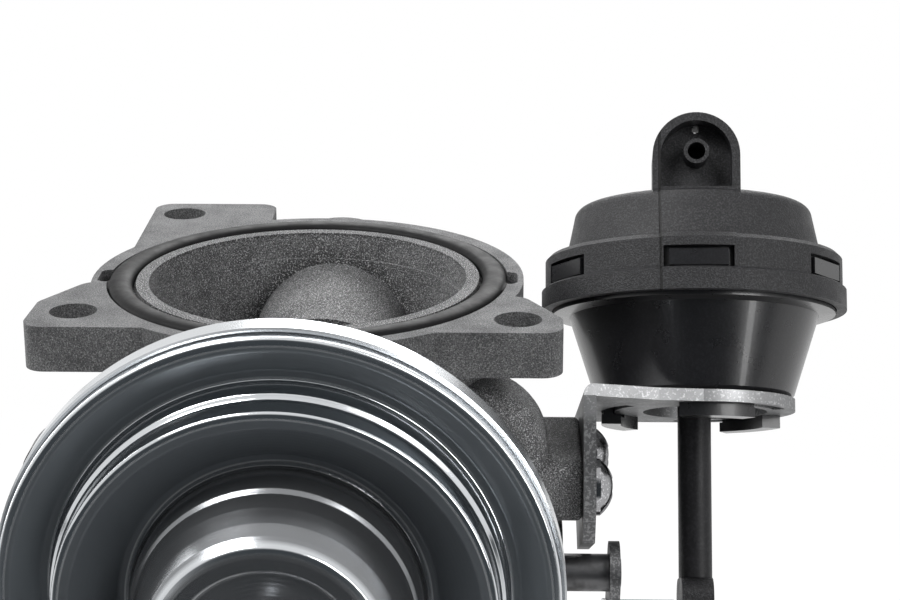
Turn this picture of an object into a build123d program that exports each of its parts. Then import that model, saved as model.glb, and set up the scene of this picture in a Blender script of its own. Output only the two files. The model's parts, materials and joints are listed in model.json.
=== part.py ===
import os
from math import cos, radians, sin

from build123d import *

os.makedirs("parts", exist_ok=True)

# Vacuum-operated exhaust gas recirculation valve with an intake throttle.
# Millimetres. Origin: centre of the air bore on the manifold face, +Z out of that face,
# -Y towards the valve's diaphragm can, +X towards the throttle's vacuum actuator.

RUN_FIT = 0.05
GAP = 0.35

# manifold flange
BORE_R = 28.5
ENTRY_DEPTH = 5.0
CAST_R = 28.0
RING_R = 38.8
FLANGE_T = 8.0
GROOVE_IN_R = 30.8
GROOVE_OUT_R = 36.0
GROOVE_DEPTH = 2.2
SEAL_IN_R = 31.3
SEAL_OUT_R = 35.8
SEAL_PROUD = 0.4
EAR_HOLE_R = 4.1
LEFT_EAR = (-38.7, -20.5)
RIGHT_EAR = (37.6, -23.6)
REAR_EAR = (-28.0, 41.5)

# leaning lower duct
LEAN = 27.0
BEND_Z = -24.0
WALL_R = 34.0
DUCT_R = 25.0
DUCT_OUT_R = 29.8
STUB_R = 28.6
STUB_START = 62.0
DUCT_END = 86.0
BEAD_R = 29.7
SHAFT_L = 30.7
SHAFT_R = 3.4

UP = Vector(0, sin(radians(LEAN)), cos(radians(LEAN)))
BACK = Vector(0, cos(radians(LEAN)), -sin(radians(LEAN)))
RIGHT = Vector(1, 0, 0)
BEND = Vector(0, 0, BEND_Z)
SHAFT_AT = BEND - UP * SHAFT_L

# gas valve, axis parallel to Y; the section plane reads (distance forward, radius)
VALVE_X = 2.7
VALVE_Z = -21.7
GAS_R = 11.5
TUBE_R = 15.75
SHROUD_R = 13.5
SEAT_FRONT = -14.0
SEAT_DEPTH = 4.0
SEAT_IN_R = 9.6
TUBE_FRONT = 6.0
POPPET_R = 11.8
STEM_R = 3.0
LIFT = 8.0
GUIDE_R = 6.0
GUIDE_FRONT = 58.0
CAVITY_R = 10.0
NECK_R = 18.0
PAD_BACK = 70.0
PAD_FRONT = 75.0
GAS_FACE = 51.0
GAS_FLANGE_T = 8.0
GAS_BOLT_X = 19.0
GAS_BOLT_R = 3.4

# diaphragm can
SHEET = 1.0
GASKET_T = 0.8
BASE_T = 2.2
CAN_EAR_RADIUS = 33.5
CAN_EAR_ANGLE = 157.0
CAN_EAR_R = 8.5
CAN_SCREW_R = 2.5
SHELL_BACK = PAD_FRONT + GASKET_T + BASE_T
RIM_R = 41.6
DIAPHRAGM_T = 0.8
STEM_END_R = 2.5
PLATE_BACK = SHELL_BACK + 2.3
CAN_FRONT = 106.9
CAN_DISH = CAN_FRONT - 1.5

# bracket and actuator
BOSS_X = 49.3
BOSS_BACK = 5.0
BOSS_FRONT = -20.0
BOSS_TOP = -27.8
BOSS_BOTTOM = -39.4
SHOULDER_BACK = -6.0
SHOULDER_R = 13.2
PLATE_T = 2.2
ROD_X = 71.0
ROD_BACK = 8.7
PLATE_S = -0.5
SCREW_Z = -34.1
SCREW_YS = (-15.0, 0.0)
SCREW_HEAD_R = 5.15
SCREW_HEAD_H = 3.5
SCREW_R = 2.5
ROD_R = 3.1
HOOK_ANGLES = (182.0, 302.0, 62.0)
HOOK_DROP = 2.4
SEAM_S = 18.8
CAP_TOP = 38.8
WINDOW_S = SEAM_S + 6.0
HOOD_TURN = 3.0
HOOD_FRONT = 20.0
HOOD_DEPTH = 9.5
HOOD_W = 15.8
HOOD_WALL = 1.5
RECESS_DEPTH = 4.0
NIPPLE_R = 2.3
NIPPLE_L = 4.5
PASSAGE_R = 1.1
PANEL_W = 13.3
WINDOW_H = 3.8
WINDOW_W = 12.5

# lever
LEVER_X = 54.5
LEVER_T = 1.9
PIN_ARM = 11.0
HALF_TURN = 42.0
PIN_R = 2.2
STROKE = 2 * PIN_ARM * sin(radians(HALF_TURN))

ACT_AT = BEND + BACK * ROD_BACK + UP * PLATE_S + RIGHT * ROD_X
PIN_AT = SHAFT_AT + BACK * PIN_ARM * cos(radians(HALF_TURN)) - UP * PIN_ARM * sin(radians(HALF_TURN))

VALVE_SECTION = Plane(origin=(VALVE_X, 0, VALVE_Z), x_dir=(0, -1, 0), z_dir=(1, 0, 0))
VALVE_AXIS = Axis((VALVE_X, 0, VALVE_Z), (0, -1, 0))
VALVE_FACE = Plane(origin=(VALVE_X, 0, VALVE_Z), x_dir=(1, 0, 0), z_dir=(0, -1, 0))
DUCT_SECTION = Plane(origin=BEND, x_dir=RIGHT, z_dir=BACK)
DUCT_AXIS = Axis(BEND, -UP)
SHAFT_SECTION = Plane(origin=SHAFT_AT, x_dir=RIGHT, z_dir=-BACK)
SHAFT_AXIS = Axis(SHAFT_AT, RIGHT)
SHAFT_FACE = Plane(origin=SHAFT_AT, x_dir=BACK, z_dir=RIGHT)
SIDE_FACE = Plane(origin=BEND, x_dir=BACK, z_dir=RIGHT)
ACT_SECTION = Plane(origin=ACT_AT, x_dir=RIGHT, z_dir=-BACK)
ACT_AXIS = Axis(ACT_AT, UP)
ACT_FACE = Plane(origin=ACT_AT, x_dir=RIGHT, z_dir=UP)
HOOD_PLANE = Plane(
    origin=ACT_AT,
    x_dir=RIGHT * cos(radians(HOOD_TURN)) - BACK * sin(radians(HOOD_TURN)),
    z_dir=-RIGHT * sin(radians(HOOD_TURN)) - BACK * cos(radians(HOOD_TURN)),
)


def polygon_face(plane, points):
    with BuildSketch(plane) as face:
        with BuildLine():
            Polyline(*points, close=True)
        make_face()
    return face.sketch


def rounded_face(plane, points, radius):
    with BuildSketch(plane) as face:
        with BuildLine():
            FilletPolyline(*points, radius=radius, close=True)
        make_face()
    return face.sketch


def sheet_face(plane, points, radius, thickness, side):
    with BuildSketch(plane) as face:
        with BuildLine():
            FilletPolyline(*points, radius=radius)
            offset(amount=thickness, side=side)
        make_face()
    return face.sketch


def ring_face(plane, outer, inner):
    with BuildSketch(plane) as face:
        Circle(outer)
        if inner:
            Circle(inner, mode=Mode.SUBTRACT)
    return face.sketch


def eared_face(plane, middle_r, ear_r, ears):
    with BuildSketch(plane) as face:
        Circle(middle_r)
        with Locations(*ears):
            Circle(ear_r)
        make_hull()
    return face.sketch


def arch_face(plane, half, low, top):
    with BuildSketch(plane) as face:
        with BuildLine():
            arch = ThreePointArc((-half, top - half), (0, top), (half, top - half))
            Polyline(arch @ 1, (half, low), (-half, low), arch @ 0)
        make_face()
    return face.sketch


def arc_slot_face(plane, inner, outer, start, sweep):
    with BuildSketch(plane) as face:
        with BuildLine():
            first = CenterArc((0, 0), outer, start, sweep)
            second = CenterArc((0, 0), inner, start, sweep)
            Line(first @ 0, second @ 0)
            Line(first @ 1, second @ 1)
        make_face()
    return face.sketch


def export(builder, name):
    builder.part.label = name
    export_step(builder.part, "parts/" + name + ".step")


CAN_EARS = [
    (CAN_EAR_RADIUS * cos(radians(CAN_EAR_ANGLE + turn)), CAN_EAR_RADIUS * sin(radians(CAN_EAR_ANGLE + turn)))
    for turn in (0, 180)
]

# ---------------------------------------------------------------- housing
EAR_LEFT = ((-46.3, -29.2), (-18, -29.2), (-18, -3.8), (-39.2, -3.8), (-45.8, -15.5))
EAR_RIGHT = ((45.2, -30.8), (45.2, -23.0), (38.6, -10.8), (18, -10.8), (18, -30.8))
EAR_REAR = ((-34.3, 10), (-34.3, 49), (-10.2, 49), (-10.2, 10))

with BuildPart() as shoulder:
    with BuildSketch(Plane.XZ.offset(-SHOULDER_BACK)):
        with Locations((30, -27.5)):
            Circle(SHOULDER_R)
    extrude(amount=SHOULDER_BACK - BOSS_FRONT)
    fillet(shoulder.edges().filter_by(GeomType.CIRCLE), 3.5)

with BuildPart() as housing:
    extrude(ring_face(Plane.XY, RING_R, 0), amount=-FLANGE_T)
    for ear_outline in (EAR_LEFT, EAR_RIGHT, EAR_REAR):
        extrude(rounded_face(Plane.XY, ear_outline, 3.6), amount=-FLANGE_T)
    extrude(ring_face(Plane.XY.offset(-FLANGE_T / 2), WALL_R, 0), amount=BEND_Z + FLANGE_T / 2)
    with Locations(BEND):
        Sphere(WALL_R)
    extrude(ring_face(Plane.XY, WALL_R, 0), amount=WALL_R, mode=Mode.SUBTRACT)
    # leaning duct with a hose stub
    duct_outline = (
        (0, 0),
        (WALL_R - 0.2, 0),
        (WALL_R - 1, 8),
        (DUCT_OUT_R, 22),
        (DUCT_OUT_R, STUB_START - 2),
        (STUB_R, STUB_START),
        (STUB_R, DUCT_END - 7),
        (BEAD_R, DUCT_END - 5.5),
        (BEAD_R, DUCT_END - 3.5),
        (STUB_R - 0.6, DUCT_END),
        (0, DUCT_END),
    )
    revolve(polygon_face(DUCT_SECTION, duct_outline), axis=DUCT_AXIS)
    # rounded shoulder and square boss for the actuator bracket
    add(shoulder.part)
    boss_outline = (
        (BOSS_FRONT, BOSS_BOTTOM),
        (BOSS_BACK, BOSS_BOTTOM),
        (BOSS_BACK, BOSS_TOP),
        (BOSS_FRONT, BOSS_TOP),
    )
    extrude(rounded_face(Plane.YZ, boss_outline, 2.5), amount=BOSS_X)
    boss_rim = housing.edges().filter_by_position(Axis.X, BOSS_X - 0.01, BOSS_X + 0.01)
    fillet(boss_rim, 1.0)
    # bearing bosses of the throttle shaft
    extrude(ring_face(SHAFT_FACE.offset(-45), 9.5, 0), amount=91)
    # neck and pad that carry the diaphragm can
    neck_outline = (
        (0, 0),
        (0, NECK_R + 1.5),
        (40, NECK_R),
        (62, NECK_R),
        (PAD_BACK, NECK_R + 5),
        (PAD_BACK, 0),
    )
    revolve(polygon_face(VALVE_SECTION, neck_outline), axis=VALVE_AXIS)
    extrude(eared_face(VALVE_FACE.offset(PAD_BACK), 28, CAN_EAR_R, CAN_EARS), amount=PAD_FRONT - PAD_BACK)
    for side in (-1, 1):
        rib = ((0, 19), (30, 20), (PAD_BACK, 25), (PAD_BACK, 0), (0, 0))
        rib_plane = Plane(origin=(VALVE_X, 0, VALVE_Z), x_dir=(0, -1, 0), z_dir=(0, 0, side))
        extrude(polygon_face(rib_plane, [(x, y * side * -1) for x, y in rib]), amount=2.5, both=True)
    # gas inlet neck and flange at the rear
    extrude(ring_face(VALVE_FACE.offset(-GAS_FACE + 2), 17.5, 0), amount=30)
    gas_ears = ((-GAS_BOLT_X, 0), (GAS_BOLT_X, 0))
    extrude(eared_face(VALVE_FACE.offset(-GAS_FACE), 18.5, 7.5, gas_ears), amount=GAS_FLANGE_T)
    # air passage
    extrude(ring_face(Plane.XY, BORE_R, 0), amount=-ENTRY_DEPTH, mode=Mode.SUBTRACT)
    extrude(ring_face(Plane.XY, CAST_R, 0), amount=BEND_Z, mode=Mode.SUBTRACT)
    with Locations(BEND):
        Sphere(CAST_R, mode=Mode.SUBTRACT)
    duct_face = ring_face(Plane(origin=BEND, x_dir=RIGHT, z_dir=-UP), DUCT_R, 0)
    extrude(duct_face, amount=DUCT_END, mode=Mode.SUBTRACT)
    # gas tube that reaches into the air passage
    extrude(ring_face(VALVE_FACE.offset(-30), TUBE_R, 0), amount=30 + TUBE_FRONT)
    with Locations(SHAFT_AT):
        Sphere(DUCT_R - 0.05, mode=Mode.SUBTRACT)
    extrude(ring_face(VALVE_FACE.offset(-GAS_FACE), GAS_R, 0), amount=GAS_FACE + SEAT_FRONT, mode=Mode.SUBTRACT)
    seat_bore = ring_face(VALVE_FACE.offset(SEAT_FRONT - SEAT_DEPTH), SHROUD_R, 0)
    extrude(seat_bore, amount=SEAT_DEPTH - SEAT_FRONT + TUBE_FRONT, mode=Mode.SUBTRACT)
    # stem guide bore and cavity behind the can
    extrude(ring_face(VALVE_FACE.offset(20), GUIDE_R, 0), amount=PAD_BACK - 20, mode=Mode.SUBTRACT)
    extrude(ring_face(VALVE_FACE.offset(GUIDE_FRONT), CAVITY_R, 0), amount=PAD_FRONT, mode=Mode.SUBTRACT)
    with BuildSketch(VALVE_FACE.offset(PAD_BACK)):
        with Locations(*CAN_EARS):
            Circle(CAN_SCREW_R + 0.3)
    extrude(amount=PAD_FRONT - PAD_BACK, mode=Mode.SUBTRACT)
    with BuildSketch(VALVE_FACE.offset(-GAS_FACE)):
        with Locations(*gas_ears):
            Circle(GAS_BOLT_R)
    extrude(amount=GAS_FLANGE_T, mode=Mode.SUBTRACT)
    # throttle shaft bores
    extrude(ring_face(SHAFT_FACE.offset(-50), 5.5, 0), amount=100, mode=Mode.SUBTRACT)
    # flange holes, seal groove with its two pull pockets
    with BuildSketch(Plane.XY):
        with Locations(LEFT_EAR, RIGHT_EAR, REAR_EAR):
            Circle(EAR_HOLE_R)
    extrude(amount=-FLANGE_T, mode=Mode.SUBTRACT)
    extrude(ring_face(Plane.XY, GROOVE_OUT_R, GROOVE_IN_R), amount=-GROOVE_DEPTH, mode=Mode.SUBTRACT)
    with BuildSketch(Plane.XY):
        with PolarLocations(GROOVE_OUT_R, 2, start_angle=0):
            RectangleRounded(3.4, 7, 1.4)
    extrude(amount=-GROOVE_DEPTH, mode=Mode.SUBTRACT)
    # bracket screw holes
    with BuildSketch(Plane.YZ.offset(BOSS_X)):
        with Locations(*[(y, SCREW_Z) for y in SCREW_YS]):
            Circle(SCREW_R)
    extrude(amount=-12, mode=Mode.SUBTRACT)
export(housing, "housing")

# ---------------------------------------------------------------- manifold seal
with BuildPart() as manifold_seal:
    extrude(ring_face(Plane.XY.offset(-GROOVE_DEPTH), SEAL_OUT_R, SEAL_IN_R), amount=GROOVE_DEPTH + SEAL_PROUD)
    fillet(manifold_seal.edges().group_by(Axis.Z)[-1], 1.0)
    with BuildSketch(Plane.XY.offset(-GROOVE_DEPTH)):
        with PolarLocations(GROOVE_OUT_R, 2, start_angle=0):
            Circle(1.1)
    extrude(amount=GROOVE_DEPTH - 0.3)
export(manifold_seal, "manifold_seal")

# ---------------------------------------------------------------- gas valve, fixed pieces
with BuildPart() as egr_seat_ring:
    seat = (
        (SEAT_FRONT - SEAT_DEPTH, SEAT_IN_R),
        (SEAT_FRONT - SEAT_DEPTH, SHROUD_R),
        (SEAT_FRONT, SHROUD_R),
        (SEAT_FRONT, SEAT_IN_R + 1.6),
        (SEAT_FRONT - 1.6, SEAT_IN_R),
    )
    revolve(polygon_face(VALVE_SECTION, seat), axis=VALVE_AXIS)
export(egr_seat_ring, "egr_seat_ring")

with BuildPart() as stem_guide:
    extrude(ring_face(VALVE_FACE.offset(32), GUIDE_R, STEM_R + RUN_FIT), amount=GUIDE_FRONT - 32)
export(stem_guide, "stem_guide")

with BuildPart() as stem_seal:
    seal_cup = (
        (GUIDE_FRONT, STEM_R + RUN_FIT),
        (GUIDE_FRONT, CAVITY_R),
        (GUIDE_FRONT + 5, CAVITY_R),
        (GUIDE_FRONT + 5, CAVITY_R - 1),
        (GUIDE_FRONT + 1.2, CAVITY_R - 1.4),
        (GUIDE_FRONT + 1.2, STEM_R + 1.6),
        (GUIDE_FRONT + 4, STEM_R + 1),
        (GUIDE_FRONT + 4, STEM_R + RUN_FIT),
    )
    revolve(polygon_face(VALVE_SECTION, seal_cup), axis=VALVE_AXIS)
export(stem_seal, "stem_seal")

with BuildPart() as can_gasket:
    extrude(eared_face(VALVE_FACE.offset(PAD_FRONT), 28, CAN_EAR_R, CAN_EARS), amount=GASKET_T)
    extrude(ring_face(VALVE_FACE.offset(PAD_FRONT), CAVITY_R, 0), amount=GASKET_T, mode=Mode.SUBTRACT)
    with BuildSketch(VALVE_FACE.offset(PAD_FRONT)):
        with Locations(*CAN_EARS):
            Circle(CAN_SCREW_R + 0.3)
    extrude(amount=GASKET_T, mode=Mode.SUBTRACT)
export(can_gasket, "can_gasket")

with BuildPart() as can_base_plate:
    extrude(eared_face(VALVE_FACE.offset(PAD_FRONT + GASKET_T), 27.4, CAN_EAR_R - 0.6, CAN_EARS), amount=BASE_T)
    extrude(ring_face(VALVE_FACE.offset(PAD_FRONT), CAVITY_R - 1, 0), amount=BASE_T + GASKET_T, mode=Mode.SUBTRACT)
    with BuildSketch(VALVE_FACE.offset(PAD_FRONT + GASKET_T)):
        with Locations(*CAN_EARS):
            Circle(CAN_SCREW_R)
    extrude(amount=BASE_T, mode=Mode.SUBTRACT)
export(can_base_plate, "can_base_plate")

with BuildPart() as can_rear_shell:
    shell_line = (
        (SHELL_BACK, CAVITY_R - 1),
        (SHELL_BACK, 26.4),
        (84.0, 38.2),
        (84.0, 40.9),
    )
    revolve(sheet_face(VALVE_SECTION, shell_line, 1.2, SHEET, Side.RIGHT), axis=VALVE_AXIS)
export(can_rear_shell, "can_rear_shell")

with BuildPart() as can_crimp_ring:
    ring_outline = (
        (84.0, 38.9),
        (83.2, 38.9),
        (83.2, 41.2),
        (83.6, RIM_R),
        (87.5, RIM_R),
        (87.7, 41.3),
        (87.5, 40.9),
        (84.0, 40.9),
    )
    revolve(polygon_face(VALVE_SECTION, ring_outline), axis=VALVE_AXIS)
export(can_crimp_ring, "can_crimp_ring")

with BuildPart() as can_front_cover:
    cover_line = (
        (86.0, 40.85),
        (89.95, 40.85),
        (89.95, 38.9),
        (86.5, 35.0),
        (86.5, 33.3),
        (90.5, 33.0),
        (91.2, 32.2),
        (95.5, 31.9),
        (95.4, 29.6),
        (88.9, 23.2),
        (88.9, 21.3),
        (92.0, 21.2),
        (95.2, 20.8),
        (96.0, 20.1),
        (99.2, 19.5),
        (102.2, 18.5),
        (104.6, 17.6),
        (106.2, 16.6),
        (CAN_FRONT, 15.2),
        (CAN_FRONT, 13.2),
        (CAN_DISH, 12.4),
        (CAN_DISH, 2.3),
    )
    revolve(sheet_face(VALVE_SECTION, cover_line, 0.7, SHEET, Side.LEFT), axis=VALVE_AXIS)
export(can_front_cover, "can_front_cover")

with BuildPart() as can_nipple:
    nipple_outline = (
        (CAN_DISH - 1.8, 1.4),
        (CAN_DISH - 1.8, 2.3),
        (CAN_DISH, 2.3),
        (CAN_DISH, 5.6),
        (CAN_DISH + 1.5, 5.6),
        (CAN_DISH + 2.2, 4.4),
        (CAN_DISH + 2.8, 2.5),
        (CAN_DISH + 12.8, 2.5),
        (CAN_DISH + 13.6, 3.0),
        (CAN_DISH + 15.6, 3.0),
        (CAN_DISH + 17.0, 2.1),
        (CAN_DISH + 17.0, 1.4),
    )
    revolve(polygon_face(VALVE_SECTION, nipple_outline), axis=VALVE_AXIS)
export(can_nipple, "can_nipple")

with BuildPart() as can_screws:
    with BuildSketch(VALVE_FACE.offset(PAD_BACK)):
        with Locations(*CAN_EARS):
            Circle(4.8)
    extrude(amount=-1.0)
    with BuildSketch(VALVE_FACE.offset(PAD_BACK - 1)):
        with Locations(*CAN_EARS):
            RegularPolygon(4.0, 6, major_radius=False)
    extrude(amount=-3.6)
    with BuildSketch(VALVE_FACE.offset(PAD_BACK)):
        with Locations(*CAN_EARS):
            Circle(CAN_SCREW_R)
    extrude(amount=SHELL_BACK - PAD_BACK)
export(can_screws, "can_screws")

# ---------------------------------------------------------------- gas valve, moving pieces
SEAT_CLEAR = 0.3
POPPET_BACK = SEAT_FRONT - 1.6 + SEAT_CLEAR
with BuildPart() as egr_poppet:
    poppet_outline = (
        (POPPET_BACK - 1.2, STEM_R),
        (POPPET_BACK - 1.2, SEAT_IN_R - 1.2),
        (POPPET_BACK, SEAT_IN_R),
        (POPPET_BACK + POPPET_R - SEAT_IN_R, POPPET_R),
        (POPPET_BACK + POPPET_R - SEAT_IN_R + 1.0, POPPET_R),
        (POPPET_BACK + 5.2, 6.0),
        (POPPET_BACK + 9.0, STEM_R),
    )
    revolve(polygon_face(VALVE_SECTION, poppet_outline), axis=VALVE_AXIS)
export(egr_poppet, "egr_poppet")

with BuildPart() as egr_stem:
    stem_outline = (
        (POPPET_BACK - 2.4, 0),
        (POPPET_BACK - 2.4, STEM_R - 0.6),
        (POPPET_BACK - 1.8, STEM_R),
        (PLATE_BACK, STEM_R),
        (PLATE_BACK, STEM_END_R),
        (PLATE_BACK + 9.0, STEM_END_R),
        (PLATE_BACK + 9.6, STEM_END_R - 0.6),
        (PLATE_BACK + 9.6, 0),
    )
    revolve(polygon_face(VALVE_SECTION, stem_outline), axis=VALVE_AXIS)
export(egr_stem, "egr_stem")

BACK_PLATE_FRONT = PLATE_BACK + 1.2
with BuildPart() as diaphragm_plate_rear:
    extrude(ring_face(VALVE_FACE.offset(PLATE_BACK), 16.5, STEM_END_R), amount=1.2)
export(diaphragm_plate_rear, "diaphragm_plate_rear")

with BuildPart() as egr_diaphragm:
    inner = BACK_PLATE_FRONT
    diaphragm_line = (
        (inner, STEM_END_R),
        (inner, 19.0),
        (81.2, 24.5),
        (82.2, 29.0),
        (83.9, 33.0),
        (83.9, 35.4),
        (85.0, 37.6),
        (85.0, 40.8),
    )
    diaphragm_top = [(x + DIAPHRAGM_T, y) for x, y in reversed(diaphragm_line)]
    revolve(polygon_face(VALVE_SECTION, (*diaphragm_line, *diaphragm_top)), axis=VALVE_AXIS)
export(egr_diaphragm, "egr_diaphragm")

FRONT_PLATE_BACK = BACK_PLATE_FRONT + DIAPHRAGM_T
with BuildPart() as diaphragm_plate_front:
    plate_line = (
        (FRONT_PLATE_BACK, STEM_END_R),
        (FRONT_PLATE_BACK, 17.0),
        (FRONT_PLATE_BACK + 1.6, 18.4),
        (FRONT_PLATE_BACK + 2.4, 18.4),
        (FRONT_PLATE_BACK + 1.2, 16.9),
        (FRONT_PLATE_BACK + 1.2, STEM_END_R),
    )
    revolve(polygon_face(VALVE_SECTION, plate_line), axis=VALVE_AXIS)
export(diaphragm_plate_front, "diaphragm_plate_front")

with BuildPart() as stem_nut:
    with BuildSketch(VALVE_FACE.offset(FRONT_PLATE_BACK + 1.2)):
        RegularPolygon(4.0, 6, major_radius=False)
        Circle(STEM_END_R, mode=Mode.SUBTRACT)
    extrude(amount=4.0)
export(stem_nut, "stem_nut")

WIRE_R = 1.1
COIL_R = 13.0
SPRING_BACK = FRONT_PLATE_BACK + 1.2 + WIRE_R
SPRING_FRONT = CAN_DISH - SHEET - GAP - WIRE_R
with BuildPart() as egr_spring:
    with BuildLine() as spring_line:
        coil = Helix(
            pitch=(SPRING_FRONT - SPRING_BACK) / 4,
            height=SPRING_FRONT - SPRING_BACK,
            radius=COIL_R,
            center=VALVE_FACE.offset(SPRING_BACK).origin,
            direction=VALVE_FACE.z_dir,
        )
    with BuildSketch(Plane(origin=coil @ 0, z_dir=coil % 0)):
        Circle(WIRE_R)
    sweep(path=spring_line.line, is_frenet=True)
export(egr_spring, "egr_spring")

# ---------------------------------------------------------------- throttle
PLATE_HALF = 1.0
with BuildPart() as throttle_shaft:
    shaft_outline = (
        (-43.0, 0),
        (-43.0, SHAFT_R - 0.5),
        (-42.5, SHAFT_R),
        (LEVER_X, SHAFT_R),
        (LEVER_X, 2.6),
        (LEVER_X + LEVER_T + 0.3, 2.6),
        (LEVER_X + LEVER_T + 0.3, 0),
    )
    revolve(polygon_face(SHAFT_SECTION, shaft_outline), axis=SHAFT_AXIS)
    with BuildSketch(SHAFT_SECTION):
        Rectangle(2 * DUCT_R, 2 * SHAFT_R + 2)
    extrude(amount=PLATE_HALF, both=True, mode=Mode.SUBTRACT)
    with BuildSketch(SHAFT_SECTION):
        with Locations((-12, 0), (12, 0)):
            Circle(1.6)
    extrude(amount=SHAFT_R + 1, both=True, mode=Mode.SUBTRACT)
export(throttle_shaft, "throttle_shaft")

with BuildPart() as throttle_plate:
    extrude(ring_face(SHAFT_SECTION, DUCT_R - 0.4, 0), amount=PLATE_HALF, both=True)
    with BuildSketch(SHAFT_SECTION):
        with Locations((-12, 0), (12, 0)):
            Circle(1.6)
    extrude(amount=PLATE_HALF, both=True, mode=Mode.SUBTRACT)
export(throttle_plate, "throttle_plate")

with BuildPart() as throttle_screws:
    with BuildSketch(SHAFT_SECTION.offset(-SHAFT_R)):
        with Locations((-12, 0), (12, 0)):
            Circle(1.6)
    extrude(amount=2 * SHAFT_R)
    with BuildSketch(SHAFT_SECTION.offset(SHAFT_R)):
        with Locations((-12, 0), (12, 0)):
            Circle(3.0)
    extrude(amount=1.6)
    fillet(throttle_screws.faces().group_by(Axis(SHAFT_AT, -BACK))[-1].edges(), 0.6)
export(throttle_screws, "throttle_screws")

with BuildPart() as shaft_bush_right:
    extrude(ring_face(SHAFT_FACE.offset(DUCT_R + 1.4), 5.5, SHAFT_R + RUN_FIT), amount=14)
export(shaft_bush_right, "shaft_bush_right")

with BuildPart() as shaft_bush_left:
    extrude(ring_face(SHAFT_FACE.offset(-DUCT_R - 1.4), 5.5, SHAFT_R + RUN_FIT), amount=-14)
export(shaft_bush_left, "shaft_bush_left")

with BuildPart() as shaft_seal:
    extrude(ring_face(SHAFT_FACE.offset(DUCT_R + 15.4), 5.5, SHAFT_R + RUN_FIT), amount=4)
export(shaft_seal, "shaft_seal")

with BuildPart() as shaft_plug:
    extrude(ring_face(SHAFT_FACE.offset(-43.6), 5.5, 0), amount=-1.4)
export(shaft_plug, "shaft_plug")

PIN_W = PIN_ARM * cos(radians(HALF_TURN))
PIN_S = -PIN_ARM * sin(radians(HALF_TURN))
with BuildPart() as throttle_lever:
    with BuildSketch(SHAFT_FACE.offset(LEVER_X)):
        Circle(5.7)
        with Locations((PIN_W, PIN_S)):
            Circle(4.6)
        make_hull()
        Circle(2.6, mode=Mode.SUBTRACT)
        with Locations((PIN_W, PIN_S)):
            Circle(PIN_R, mode=Mode.SUBTRACT)
    extrude(amount=LEVER_T)
export(throttle_lever, "throttle_lever")

EYE_HALF = ROD_R - 0.2
COLLAR_R = PIN_R + 0.6
with BuildPart() as lever_pin:
    pin_section = Plane(origin=PIN_AT, x_dir=RIGHT, z_dir=-BACK)
    pin_outline = (
        (LEVER_X - 0.8, 0),
        (LEVER_X - 0.8, PIN_R + 0.8),
        (LEVER_X, PIN_R + 0.8),
        (LEVER_X, PIN_R),
        (LEVER_X + LEVER_T, PIN_R),
        (LEVER_X + LEVER_T, COLLAR_R),
        (ROD_X - EYE_HALF - 1.2, COLLAR_R),
        (ROD_X - EYE_HALF - 0.5, PIN_R),
        (ROD_X + EYE_HALF + 0.8, PIN_R),
        (ROD_X + EYE_HALF + 1.4, PIN_R - 0.6),
        (ROD_X + EYE_HALF + 1.4, 0),
    )
    revolve(polygon_face(pin_section, pin_outline), axis=Axis(PIN_AT, RIGHT))
export(lever_pin, "lever_pin")

# ---------------------------------------------------------------- actuator, moving pieces
EYE_S = -SHAFT_L + PIN_S - PLATE_S
SLOT_BACK = PIN_ARM - ROD_BACK + PIN_R + GAP
SLOT_FRONT = PIN_W - ROD_BACK - PIN_R - GAP
SLOT_HALF_H = PIN_R + 0.6
EYE_WALL = 2.5
EYE_HEAD = 4.0
SPIGOT_R = 1.8
ROD_TOP = 5.0
with BuildPart() as rod_eye:
    eye_plane = Plane(origin=ACT_AT + UP * EYE_S, x_dir=BACK, z_dir=RIGHT)
    slot_mid = (SLOT_BACK + SLOT_FRONT) / 2
    slot_len = SLOT_BACK - SLOT_FRONT
    with BuildSketch(eye_plane):
        with Locations((slot_mid, (EYE_HEAD - EYE_WALL) / 2)):
            RectangleRounded(slot_len + 2 * EYE_WALL, 2 * SLOT_HALF_H + EYE_WALL + EYE_HEAD, 3.4)
        with Locations((slot_mid, 0)):
            RectangleRounded(slot_len, 2 * SLOT_HALF_H, SLOT_HALF_H - 0.05, mode=Mode.SUBTRACT)
    extrude(amount=EYE_HALF, both=True)
    spigot_s = EYE_S + SLOT_HALF_H + 1.0
    eye_top = EYE_S + SLOT_HALF_H + EYE_HEAD
    extrude(ring_face(ACT_FACE.offset(spigot_s), SPIGOT_R, 0), amount=EYE_HEAD, mode=Mode.SUBTRACT)
export(rod_eye, "rod_eye")

with BuildPart() as actuator_rod:
    rod_outline = (
        (0, spigot_s),
        (SPIGOT_R, spigot_s),
        (SPIGOT_R, eye_top),
        (ROD_R, eye_top),
        (ROD_R, ROD_TOP - 0.6),
        (2.0, ROD_TOP - 0.6),
        (2.0, ROD_TOP + 5.0),
        (0, ROD_TOP + 5.0),
    )
    revolve(polygon_face(ACT_SECTION, rod_outline), axis=ACT_AXIS)
export(actuator_rod, "actuator_rod")

with BuildPart() as actuator_diaphragm:
    roll_line = (
        (2.0, ROD_TOP - 0.6),
        (15.4, ROD_TOP - 0.6),
        (20.6, SEAM_S - 0.1),
        (21.7, SEAM_S + 0.9),
        (24.2, SEAM_S + 0.9),
    )
    roll_top = [(x, y + DIAPHRAGM_T) for x, y in reversed(roll_line)]
    revolve(polygon_face(ACT_SECTION, (*roll_line, *roll_top)), axis=ACT_AXIS)
export(actuator_diaphragm, "actuator_diaphragm")

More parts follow.
